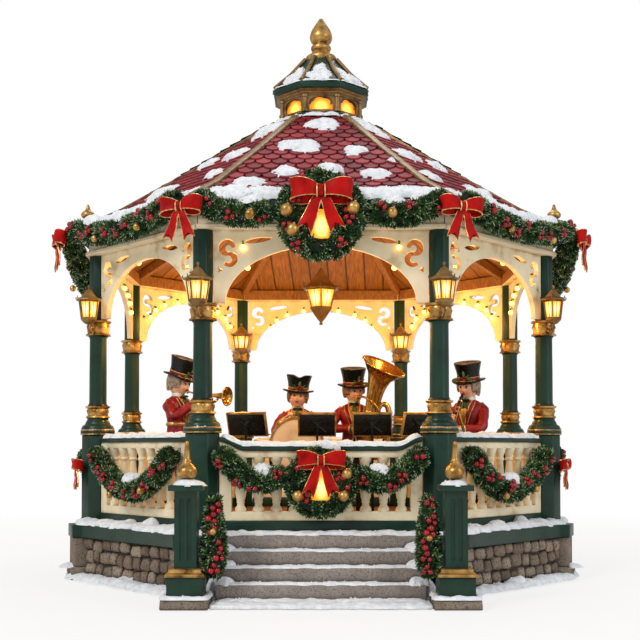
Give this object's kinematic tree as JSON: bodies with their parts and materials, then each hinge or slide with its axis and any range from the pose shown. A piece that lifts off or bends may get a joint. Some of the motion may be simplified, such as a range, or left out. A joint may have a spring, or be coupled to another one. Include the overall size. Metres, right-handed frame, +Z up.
{
  "type": "miniature festive bandstand",
  "caption": "Miniature octagonal bandstand with scalloped roof, lantern cupola, fretwork arches, balustrades, steps, garlands and musicians.",
  "frame": {"origin": "on the floor, on the vertical axis of the eight columns", "axes": "+X right, +Y to the back away from the steps, +Z up"},
  "size_m": [0.214, 0.2408, 0.24],
  "materials": {
    "snow": "matt, granular",
    "granite": "rough",
    "fieldstone": "rough",
    "green_paint": "satin enamel",
    "cream_paint": "satin enamel",
    "antique_gold": "metallic paint, antiqued",
    "bronze_paint": "metallic paint, dark wash",
    "roof_red": "satin enamel",
    "brown_timber": "stained",
    "deck_timber": "stained",
    "lamp_glass": "glowing amber",
    "greenery": "frosted tips",
    "ribbon": "satin, gilt edge",
    "candle_wax": "glowing",
    "figure_paint": "hand-painted",
    "gilt_brass": "polished",
    "drum_paint": "hand-painted",
    "black_paint": "satin enamel"
  },
  "bodies": {
    "root": {"snow_base": "snow", "granite_feet": "granite", "stone_walls": "fieldstone", "corner_piers": "granite", "deck_band": "green_paint", "deck_floor": "deck_timber", "steps": "granite", "newel_posts": "green_paint", "newel_gilding": "antique_gold", "column_pedestals": "green_paint", "column_gilding": "antique_gold", "column_bells": "green_paint", "column_shafts": "green_paint", "column_posts": "green_paint", "balustrade_soles": "green_paint", "balustrades": "cream_paint", "handrails": "green_paint", "spandrels": "cream_paint", "ring_beam": "cream_paint", "ceiling_boards": "brown_timber", "rafters": "brown_timber", "ceiling_boss": "brown_timber", "eave_fascia": "green_paint", "roof_panels": "roof_red", "hip_ribs": "bronze_paint", "eave_finials": "antique_gold", "cupola_curb": "green_paint", "cupola_sill": "bronze_paint", "cupola_body": "bronze_paint", "cupola_glazing": "lamp_glass", "cupola_eave": "green_paint", "cupola_roof": "green_paint", "cupola_ribs": "bronze_paint", "top_finial": "antique_gold", "lantern_frames": "gilt_brass", "lantern_glass": "lamp_glass", "upper_garlands": "greenery", "lower_garlands": "greenery", "newel_garlands": "greenery", "wreaths": "greenery", "candles": "candle_wax", "bows": "ribbon", "trumpeter": "figure_paint", "drummer": "figure_paint", "tuba_player": "figure_paint", "clarinettist": "figure_paint", "trumpet": "gilt_brass", "bass_drum": "drum_paint", "tuba": "gilt_brass", "clarinet": "black_paint", "music_stands": "black_paint"}
  },
  "joints": []
}
